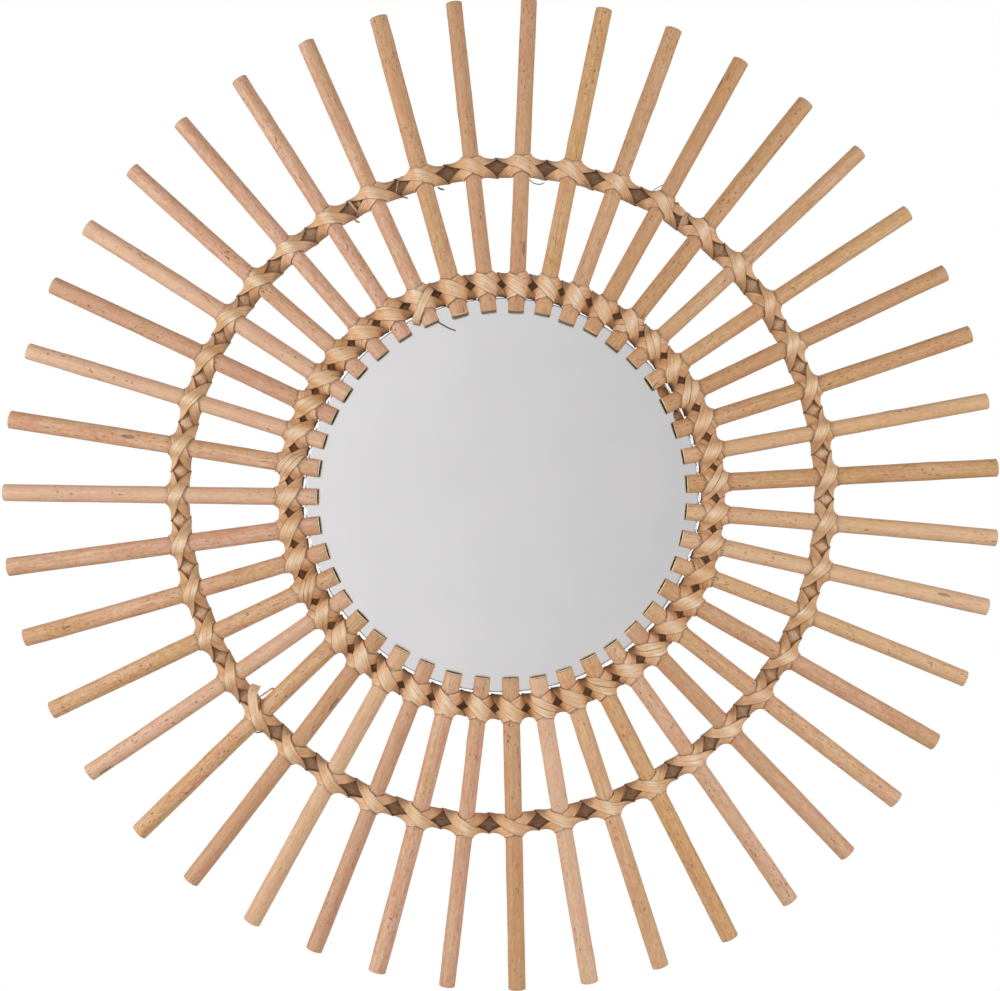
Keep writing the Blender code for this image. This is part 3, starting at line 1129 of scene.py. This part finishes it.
# %% Making a strip's mesh
def strip_object(name, grid, width, material, strands, crest):
    """A strip as a thin closed band with its UV map and its attributes."""
    rows, columns = grid.shape[:2]
    mesh = bpy.data.meshes.new(name)
    faces = grid_faces(rows, columns)
    mesh.from_pydata(grid.reshape(-1, 3).tolist(), [], faces.tolist())
    across = np.linspace(0.0, 1.0, columns)
    set_vectors(mesh, "strip", np.stack((
        np.tile(across, (rows, 1)),
        np.tile(strands[0][:, None], (1, columns)),
        np.tile(strands[1][:, None], (1, columns))), axis=-1).reshape(-1, 3))
    mesh.attributes.new("crest", "FLOAT", "POINT").data.foreach_set(
        "value", np.repeat(crest, columns))

    middle = grid[:, columns // 2]
    step = np.linalg.norm(np.roll(middle, -1, axis=0) - middle, axis=-1)
    travelled = np.concatenate(((0.0,), np.cumsum(step)))
    row = np.repeat(np.arange(rows), columns - 1)
    column = np.tile(np.arange(columns - 1), rows)
    corner_rows = np.stack((row, row, row + 1, row + 1), axis=-1)
    corner_columns = np.stack((column, column + 1, column + 1, column), axis=-1)
    uv = mesh.uv_layers.new(name="along_and_across")
    uv.uv.foreach_set("vector", np.stack((
        travelled[corner_rows], across[corner_columns] * width), axis=-1).ravel())

    band = new_object(name, mesh)
    mesh.materials.append(material)
    apply_modifier(band, "SOLIDIFY", thickness=STRIP_THICKNESS, offset=1.0)
    smooth(band, 50.0)
    return band


print("each strip is", STRIP_THICKNESS * MILLIMETRES, "mm thick")

# %% [markdown]
# ## Winding the four strips
#
# Each hoop has two strips, wound in opposite ways. `reach` is how far along the hoop a
# strip travels behind it, `slope` its slant over a stick in degrees, `slip` its chance
# shift along a stick, and `slip_waves` a slow shift once and twice round the hoop.
# `slack` and `sag` are its distance from the hoop all round and on the side of the glass,
# and `shoulder` lifts it at the two sides of the hoop. `strands` is how often it is single,
# double or triple.

# %% Winding the strips on both hoops
OUTER_STRIP = {"width": 0.0060, "slope": 31.0, "slip": 0.0004, "reach": 0.0033,
               "slack": 0.0004, "sag": 0.0002, "shoulder": 0.0004, "share_of_gap": 0.44,
               "columns": 9, "slip_waves": (0.0, 0.0), "strands": (1.0, 0.0, 0.0)}
INNER_STRIP = {"width": 0.0073, "slope": 38.0, "slip": 0.0004, "reach": 0.0004,
               "slack": 0.0007, "sag": 0.0009, "shoulder": 0.0010, "share_of_gap": 0.70,
               "columns": 13, "slip_waves": (-0.0006, -0.0004), "strands": (0.80, 0.16, 0.04)}


def wind(ring, way, strip, seed, below=None):
    """Points of one strip wound on a hoop, and its strands."""
    chance = random.Random(seed)
    rows = lay_rows(ring, way, strip, chance)
    grid = pull_tight(ring, rows, strip["columns"])
    if below is not None:
        normals = surface_normals(grid)
        grid = grid + normals * rise_over(grid, normals, below)[..., None]
    return grid, strand_shares(len(grid), chance, strip["strands"])


for ring, strip, name, seed in ((outer, OUTER_STRIP, "outer", 11),
                                (inner, INNER_STRIP, "inner", 23)):
    under, under_strands = wind(ring, -1, strip, seed)
    over, over_strands = wind(ring, 1, strip, seed + 1, under)
    for order, grid, strands, material in (("first", under, under_strands, warm_peel),
                                           ("second", over, over_strands, pale_peel)):
        crest = crest_of(len(grid), random.Random(seed))
        band = strip_object(f"{name}_peel_{order}", grid, strip["width"], material, strands,
                            crest)
        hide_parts(f"{name}_binding_{order}")
        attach(band, "root")
        print(band.name, len(band.data.polygons), "faces")

# %% [markdown]
# ## Joins and loose ends
#
# Where a strip runs out, the next one is tucked in and wound over it, and the ends never
# lie quite flat. These are short bands laid along a curve through a few points. A wrap
# over the hoop between two sticks follows the hoop's section, and every other end follows
# points that stand here in millimetres: right, behind the wall plane, up. A Bezier curve
# gives the smooth way through the points, and its evaluated mesh is the row of middles.

# %% Bands for joins and ends
CURVE_STEPS = 20
END_COLUMNS = 5
END_THICKNESS = 0.0003
# END_CREST is how much of the painted crest highlight the loose ends get
END_CREST = 0.35
END_ROW_STEP = 0.0006


def curve_through(points):
    """A new curve that runs smoothly through points given in millimetres."""
    clear_selection()
    bpy.ops.curve.primitive_bezier_curve_add()
    curve = bpy.context.active_object
    spline = curve.data.splines[0]
    spline.bezier_points.add(len(points) - 2)
    for knot, point in zip(spline.bezier_points, points):
        knot.co = Vector(point) / MILLIMETRES
        knot.handle_left_type = knot.handle_right_type = "AUTO"
    return curve


def end_piece(name, way, halves, taper, material):
    """A short open band: middles, half width vectors and how much its ends narrow."""
    rows = len(way)
    narrow = 1.0 - taper * np.abs(np.linspace(-1.0, 1.0, rows)) ** 3
    columns = np.linspace(-1.0, 1.0, END_COLUMNS)
    grid = way[:, None] + (halves * narrow[:, None])[:, None] * columns[None, :, None]
    faces = grid_faces(rows, END_COLUMNS)[:(rows - 1) * (END_COLUMNS - 1)]
    mesh = bpy.data.meshes.new(name)
    mesh.from_pydata(grid.reshape(-1, 3).tolist(), [], faces.tolist())
    set_vectors(mesh, "strip", np.tile(np.column_stack((
        (columns + 1.0) / 2.0, columns * 0.0, columns * 0.0)), (rows, 1)))
    mesh.attributes.new("crest", "FLOAT", "POINT").data.foreach_set(
        "value", np.full(rows * END_COLUMNS, END_CREST))
    uv = mesh.uv_layers.new(name="along_and_across")
    for loop in mesh.loops:
        row, column = divmod(loop.vertex_index, END_COLUMNS)
        uv.uv[loop.index].vector = (row * END_ROW_STEP,
                                    column * np.linalg.norm(halves[0]) / 2.0)
    band = new_object(name, mesh)
    mesh.materials.append(material)
    apply_modifier(band, "SOLIDIFY", thickness=END_THICKNESS, offset=0.0)
    smooth(band, 50.0)
    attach(band, "root")


print("joins and ends are", END_THICKNESS * MILLIMETRES, "mm thick")

# %% [markdown]
# ## Two kinds of short band
#
# A wrap needs no points: it follows the section of its hoop, a little outside, for 125
# degrees to either side of the front. A loose end is laid with its face to the front, so
# its direction across comes from where the curve is heading.

# %% Laying wraps and loose ends
WRAP_TURN = 125.0
WRAP_ROWS = 28


def hoop_wrap(name, ring, bearing, lean, width, lift, material):
    """A band over the front of a hoop between two sticks, leaning to one side."""
    angle = math.radians(bearing)
    out = np.array((math.sin(angle), 0.0, math.cos(angle)))
    side = np.array((math.cos(angle), 0.0, -math.sin(angle)))
    turn = np.radians(np.linspace(-WRAP_TURN, WRAP_TURN, WRAP_ROWS))[:, None]
    way = out * (float(radius_at(ring, angle)) + np.sin(turn) * (ring["wide"] + lift))
    way = way + FORWARD * np.cos(turn) * (ring["deep"] + lift) + side * lean * turn
    way[:, 1] += ring["y"]
    across = unit(side - out * lean / ring["wide"] * np.cos(turn))
    end_piece(name, way, across * width / 2.0, 0.0, material)


def loose_end(name, points, width, taper, material):
    """A band along listed points, lying face to the front."""
    curve = curve_through(points)
    curve.data.resolution_u = CURVE_STEPS
    bpy.ops.object.convert(target="MESH")
    way = coordinates(bpy.context.active_object.data)
    bpy.data.objects.remove(bpy.context.active_object, do_unlink=True)
    halves = unit(np.cross(np.gradient(way, axis=0), FORWARD)) * width / 2.0
    end_piece(name, way, halves, taper, material)


print("a wrap turns", 2.0 * WRAP_TURN, "degrees round its hoop")

# %% [markdown]
# ## Where the joins and ends are
#
# One join is at the upper right, with a frayed end and two curls beside it, and one at the
# upper left. At the lower left and at the top of the inner hoop a wide end passes over
# the crossing and is tucked in again, and thin tails of peel hang out elsewhere.
# Each row below holds a name, sizes in metres and the points in millimetres.

# %% Wraps over the hoops and loose ends of peel
for name, bearing, lean, width, lift, peel in (
        ("join_wrap_right", 33.7, -0.0012, 0.0040, 0.0011, pale_peel),
        ("join_wrap_left_wide", 333.9, 0.0010, 0.0016, 0.0010, pale_peel),
        ("join_wrap_left_thin", 332.7, -0.0009, 0.0011, 0.0009, warm_peel),
        ("join_thread", 341.2, 0.0026, 0.0005, 0.0009, pale_peel)):
    hoop_wrap(name, outer, bearing, lean, width, lift, peel)

LOOSE_ENDS = (
    ("frayed_end", 0.0044, 0.35, dark_peel, (
        (82.6, -12.0, 145.6), (85.2, -14.2, 145.0), (88.2, -13.6, 142.8),
        (91.6, -11.6, 141.0))),
    ("curl_one", 0.0006, 0.7, dark_peel, (
        (86.4, -13.6, 145.0), (87.6, -15.0, 146.2), (88.4, -14.6, 145.6),
        (88.6, -13.2, 144.2))),
    ("curl_two", 0.0005, 0.7, dark_peel, (
        (85.0, -13.8, 145.4), (86.0, -15.2, 146.4), (87.2, -14.8, 145.8))),
    ("splinter", 0.0010, 0.4, warm_peel, (
        (-121.8, -13.0, -101.4), (-117.6, -13.6, -98.6), (-114.8, -13.2, -97.0),
        (-114.2, -12.4, -97.9), (-117.4, -12.2, -100.9), (-120.4, -12.6, -103.0))),
    ("tail_lower_left", 0.0007, 0.7, skin_peel, (
        (-124.4, -12.0, -118.6), (-122.4, -13.0, -119.0), (-120.2, -13.0, -118.6),
        (-118.2, -12.0, -117.4))),
    ("tail_top", 0.0005, 0.7, skin_peel, (
        (13.6, -9.0, 159.0), (15.8, -9.6, 157.0), (19.4, -9.4, 156.4), (21.6, -8.6, 157.4))),
    ("tail_top_left", 0.0009, 0.7, skin_peel, (
        (-32.6, -9.0, 155.0), (-30.6, -9.6, 153.9), (-28.9, -9.6, 153.6))),
    ("tail_upper_left", 0.0010, 0.7, dark_peel, (
        (-74.6, -9.8, 138.9), (-73.0, -10.2, 137.6), (-71.4, -9.8, 137.0))),
    ("tail_upper", 0.0008, 0.7, skin_peel, (
        (-49.8, -9.6, 150.2), (-48.6, -10.0, 149.5), (-47.2, -9.6, 149.4))),
    ("tuck_inner", 0.0040, 0.1, pale_peel, (
        (-35.6, -12.4, 103.6), (-36.6, -17.4, 101.6), (-38.2, -19.5, 98.0),
        (-40.8, -19.3, 92.4), (-42.6, -16.6, 88.2), (-43.2, -12.6, 85.8))),
    ("tuck_lower_left", 0.0050, 0.1, pale_peel, (
        (-123.2, -12.6, -95.2), (-124.2, -17.2, -98.4), (-123.8, -19.4, -104.4),
        (-122.4, -18.6, -111.0), (-121.2, -13.6, -116.6))))

for name, width, taper, peel, points in LOOSE_ENDS:
    loose_end(name, points, width, taper, peel)
print("loose ends:", len(LOOSE_ENDS))

# %% [markdown]
# ## Binding wire
#
# Two short ends of thin iron wire stick out where the hoops were held while they were
# wound. A wire is a smooth curve with a round bevel, turned into a mesh. Its dull metal has
# a few rusty spots.

# %% Wire ends
def wire_finish():
    material, wires, shader = start_finish("dull_wire", (0.3, 0.3, 0.32, 1.0), Metallic=0.8)
    spots = wires.place().stretch((1500.0, 1500.0, 1500.0)).noise(3.0)
    base = spots.fade(0.45, 0.65).mix(colour(118, 122, 128), colour(88, 72, 62))
    feed(wires, shader, base, 0.35 + spots * 0.3, spots, 0.00005)
    return material


def wire_end(name, points, thickness):
    """A round wire through listed points."""
    wire = curve_through(points)
    wire.name = name
    wire.data.bevel_depth = thickness / 2.0
    wire.data.bevel_resolution = 3
    wire.data.use_fill_caps = True
    bpy.ops.object.convert(target="MESH")
    wire = bpy.context.active_object
    wire.data.materials.append(dull_wire)
    smooth(wire, 60.0)
    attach(wire, "root")
    print(wire.name, len(wire.data.polygons), "faces")


dull_wire = wire_finish()
wire_end("wire_end_right", ((73.4, -9.6, 150.4), (76.0, -12.6, 152.6), (78.6, -13.2, 154.4),
                            (82.4, -12.6, 155.9)), 0.0004)
wire_end("wire_end_inner", ((-32.6, -12.4, 87.2), (-29.4, -12.2, 85.4), (-26.4, -11.2, 83.8),
                            (-23.3, -10.4, 82.7)), 0.00045)

# %% [markdown]
# ## Glue
#
# Two drops of amber glue sit between stick ends at the right of the glass. A drop is a
# sphere: seven soft lumps pull its surface out or in, and then it is stretched, leaned and
# put in its place.

# %% Glue drops
LUMPS = 7
DROP_UNIT = 0.001


def glue_finish():
    material, wires, shader = start_finish("amber_glue", (0.5, 0.25, 0.06, 1.0),
                                           Specular_IOR_Level=0.5)
    place = wires.place()
    clouds = place.stretch((420.0, 420.0, 420.0)).noise(3.0)
    streaks = place.stretch((900.0, 500.0, 900.0), (3.0, 1.0, 2.0)).noise(3.0)
    base = painted(
        clouds.fade(0.38, 0.62).mix(colour(160, 104, 54), colour(112, 68, 34)),
        (streaks.fade(0.55, 0.72) * 0.5, (204, 156, 98)))
    feed(wires, shader, base, 0.42 + streaks * 0.2, clouds + streaks * 0.5, 0.0006)
    return material


def glue_drop(name, place, size, lean, seed):
    """A lumpy drop: where it sits, its half sizes in millimetres, and how it leans."""
    clear_selection()
    bpy.ops.mesh.primitive_ico_sphere_add(subdivisions=5, radius=DROP_UNIT)
    drop = bpy.context.active_object
    drop.name = name
    chance = random.Random(seed)
    points = coordinates(drop.data)
    direction = unit(points)
    swell = np.ones(len(points))
    for _ in range(LUMPS):
        towards = unit(np.array([chance.gauss(0.0, 1.0) for _ in range(3)]))
        swell += chance.uniform(-0.10, 0.16) * np.maximum(direction @ towards, 0.0) ** 4
    set_coordinates(drop.data, points * swell[:, None])
    drop.scale = size
    drop.rotation_euler = (0.0, math.radians(lean), 0.0)
    drop.location = Vector(place) / MILLIMETRES
    bpy.ops.object.transform_apply(location=True, rotation=True, scale=True)
    drop.data.materials.append(amber_glue)
    smooth(drop, 60.0)
    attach(drop, "root")
    print(drop.name, len(drop.data.polygons), "faces")


amber_glue = glue_finish()
glue_drop("glue_drop_upper", (81.0, -11.6, 51.6), (2.2, 2.0, 4.4), -30.0, 3)
glue_drop("glue_drop_lower", (88.9, -11.4, 38.9), (2.0, 2.0, 4.2), -22.0, 5)

# %% [markdown]
# ## The glass
#
# The glass is an ordinary silvered plate, 3 mm thick, with a ground edge. It is bright,
# very slightly cloudy and duller in its outermost centimetre. That is all in the finish: a
# full metal with a little roughness, and a bump of less than a thousandth of a millimetre.
# The ground edge is a dull grey-green and gets a finish of its own.

# %% The finish of the glass
def mirror_finish():
    material, wires, shader = start_finish("silvered_glass", (0.8, 0.8, 0.8, 1.0), Metallic=1.0)
    place = wires.place()
    haze = place.stretch((22.0, 22.0, 22.0)).noise(3.0)
    dust = place.stretch((900.0, 900.0, 900.0)).noise(2.0)
    base = painted(
        haze.fade(0.3, 0.7).mix(colour(248, 246, 247), colour(251, 249, 249)),
        (dust.fade(0.66, 0.76) * 0.12, (214, 210, 208)))
    dull = place.length().fade(0.080, 0.092)
    feed(wires, shader, base, 0.015 + haze * 0.02 + dull * 0.11, haze, 0.0000004)
    return material


def ground_edge_finish():
    material, wires, shader = start_finish("ground_glass_edge", (0.45, 0.5, 0.48, 1.0),
                                           Specular_IOR_Level=0.8)
    chips = wires.place().stretch((1300.0, 1300.0, 1300.0)).noise(3.0)
    base = chips.fade(0.35, 0.65).mix(colour(80, 86, 86), colour(104, 110, 110))
    feed(wires, shader, base, 0.45 + chips * 0.2, chips, 0.00002)
    return material


silvered_glass = mirror_finish()
ground_glass_edge = ground_edge_finish()
print("finishes:", silvered_glass.name, ground_glass_edge.name)

# %% [markdown]
# ## The shape of the glass
#
# A cylinder with its edges bevelled is the whole shape. The ring inset beside the bevel
# keeps the soft shading of the edge out of the large face, which would otherwise reflect
# like a curved one.

# %% Modelling the glass
SOFT_EDGE = 0.0005
SHADING_RING = 0.0016
GLASS_REACH = 0.0003
EDGE_ANGLE = 1.0


def disc(name, box, sides, wider=0.0, thinner=0.0):
    """A round plate in the box of a flat solid, facing the front."""
    low, high = box
    clear_selection()
    bpy.ops.mesh.primitive_cylinder_add(
        vertices=sides, radius=(high[0] - low[0]) / 2.0 + wider,
        depth=high[1] - low[1] - thinner,
        location=(0.0, (low[1] + high[1]) / 2.0, 0.0), rotation=(math.pi / 2.0, 0.0, 0.0))
    made = bpy.context.active_object
    made.name = name
    bpy.ops.object.transform_apply(location=True, rotation=True, scale=True)
    return made


def soften_edges(obj, segments):
    """A small bevel along every sharp edge."""
    choose(obj, "EDGE", lambda edge: edge.calc_face_angle() > EDGE_ANGLE)
    bpy.ops.mesh.bevel(offset=SOFT_EDGE, segments=segments, affect="EDGES")
    clear_selection()


plate = disc("silvered_glass_plate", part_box("mirror_glass"), 192, wider=GLASS_REACH)
choose(plate, "FACE", lambda face: abs(face.normal.y) > 0.9)
bpy.ops.mesh.inset(thickness=SHADING_RING)
soften_edges(plate, 3)
plate.data.materials.append(silvered_glass)
plate.data.materials.append(ground_glass_edge)
for face in plate.data.polygons:
    face.material_index = int(abs(face.normal.y) < 0.95)
smooth(plate, 30.0)
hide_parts("mirror_glass")
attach(plate, "root")
print("glass:", round(plate.dimensions.x * MILLIMETRES, 1), "mm across")

# %% [markdown]
# ## The backing board
#
# Behind the glass is a thin round board, which keeps the glass from the wall. It is raw
# fibreboard with a sawn edge. Nothing of it shows from the front, so it stays plain, with
# a softened edge and a fine felted surface. It is a hundredth of a millimetre thinner than
# its solid, so that rounding can't put its back outside the part's box.

# %% The board and its finish
BOARD_THINNER = 0.00001


def board_finish():
    material, wires, shader = start_finish("raw_fibreboard", (0.32, 0.2, 0.12, 1.0))
    place = wires.place()
    felt = place.stretch((700.0, 300.0, 700.0)).noise(4.0, 0.7)
    clouds = place.stretch((30.0, 30.0, 30.0)).noise(2.0)
    flecks = place.stretch((1900.0, 900.0, 2600.0)).noise(2.0)
    base = painted(
        felt.fade(0.35, 0.68).mix(colour(150, 114, 82), colour(120, 88, 62)),
        (clouds.fade(0.4, 0.7) * 0.35, (168, 132, 98)),
        (flecks.fade(0.60, 0.70) * 0.5, (92, 64, 44)))
    feed(wires, shader, base, 0.78 + felt * 0.12, felt + flecks * 0.5, 0.0003)
    return material


raw_fibreboard = board_finish()
board = disc("fibreboard_disc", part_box("backing_board"), 128, thinner=BOARD_THINNER)
soften_edges(board, 2)
board.data.materials.append(raw_fibreboard)
smooth(board, 30.0)
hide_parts("backing_board")
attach(board, "root")
print("board:", board.name)

# %% [markdown]
# ## The camera
#
# The mirror was photographed straight on. The camera stands 0.85 m in front of the sticks,
# a distance that follows from how much further out the crossings over the sticks appear
# than the hoop behind them. It stands a hair to the left of the middle and below it, which
# puts the mirror in the picture where it is in the photo.

# %% Camera
CAMERA_DISTANCE = 0.85
VIEW_WIDTH = 0.5005
SENSOR_WIDTH = 36.0
CAMERA_RIGHT = -0.001
CAMERA_UP = -0.00025

stick_depth = sum(stick["start"].y for stick in sticks) / STICK_COUNT
camera_data = bpy.data.cameras.new("camera")
camera_data.sensor_width = SENSOR_WIDTH
camera_data.lens = SENSOR_WIDTH * CAMERA_DISTANCE / VIEW_WIDTH
camera = new_object("camera", camera_data)
camera.location = (CAMERA_RIGHT, stick_depth - CAMERA_DISTANCE, CAMERA_UP)
camera.rotation_euler = (math.pi / 2.0, 0.0, 0.0)
bpy.context.scene.camera = camera
print("lens", round(camera_data.lens, 1), "mm")

# %% [markdown]
# ## The room
#
# The picture's background is pure white, but a white room all round would light the mirror
# flatly and fill the glass with white. So the camera sees white, while everything else sees
# a dim room, a little darker below, with a grey wall behind the camera. That wall is what
# the glass shows: lighter at its left and darker at its right. The Light Path node tells
# the two apart.

# %% The room
ROOM_LIGHT = 0.30
WALL_GREY = 0.83
WALL_FALL = 0.30

world = bpy.data.worlds.new("studio")
bpy.context.scene.world = world
world.use_nodes = True
room = Wire(world.node_tree)
heading = room.node("ShaderNodeTexCoord", {}, {}, "Generated")
ahead = (0.0 - heading.part(1)).fade(0.88, 0.97)
wall = WALL_GREY - WALL_FALL * heading.part(0).fade(-0.25, 0.25)
around = ROOM_LIGHT * (0.76 + 0.48 * heading.part(2).fade(-0.7, 0.7))
grey = around + ahead * (wall - around)
seen_by_camera = room.node("ShaderNodeLightPath", {}, {}, "Is Camera Ray")
light = seen_by_camera.mix(grey, colour(255, 255, 255))
world.node_tree.links.new(light.socket, world.node_tree.nodes["Background"].inputs["Color"])
bpy.context.scene.view_settings.view_transform = "Standard"
print("world:", world.name, len(world.node_tree.nodes), "nodes")

# %% [markdown]
# ## Lights and floor
#
# Two broad soft panels stand at the left and right, in front of the mirror and turned
# towards it. They shape the round sticks and hoops from both sides, and the left one is a
# little stronger. A plain pale floor lies well below and out of the picture.

# %% Lights and floor
PANEL_SIDE = 0.91
PANEL_AHEAD = -0.53
PANEL_UP = 0.06
PANEL_WIDTH = 0.46
PANEL_HEIGHT = 0.9


def soft_light(name, side, watts):
    """A large soft panel that faces the middle of the mirror."""
    data = bpy.data.lights.new(name, "AREA")
    data.shape = "RECTANGLE"
    data.size = PANEL_WIDTH
    data.size_y = PANEL_HEIGHT
    data.energy = watts
    panel = new_object(name, data)
    panel.location = (side, PANEL_AHEAD, PANEL_UP)
    panel.rotation_euler = (-panel.location).to_track_quat("-Z", "Y").to_euler()
    print(name, watts, "W")


soft_light("left_panel", -PANEL_SIDE, 7.0)
soft_light("right_panel", PANEL_SIDE, 5.2)
clear_selection()
bpy.ops.mesh.primitive_circle_add(vertices=96, radius=1.3, fill_type="NGON",
                                  location=(0.0, 0.0, -0.75))
floor = bpy.context.active_object
floor.name = "floor"
pale_floor, _, floor_shader = start_finish("pale_floor", (0.8, 0.8, 0.8, 1.0), Roughness=0.9)
floor_shader.inputs["Base Color"].default_value = colour(232, 231, 229)
floor.data.materials.append(pale_floor)
print("floor:", round(floor.dimensions.x, 1), "m across")

# %% [markdown]
# ## The end
#
# The detailed model has to stay in the box of the solids.

# %% The end
print("the end")
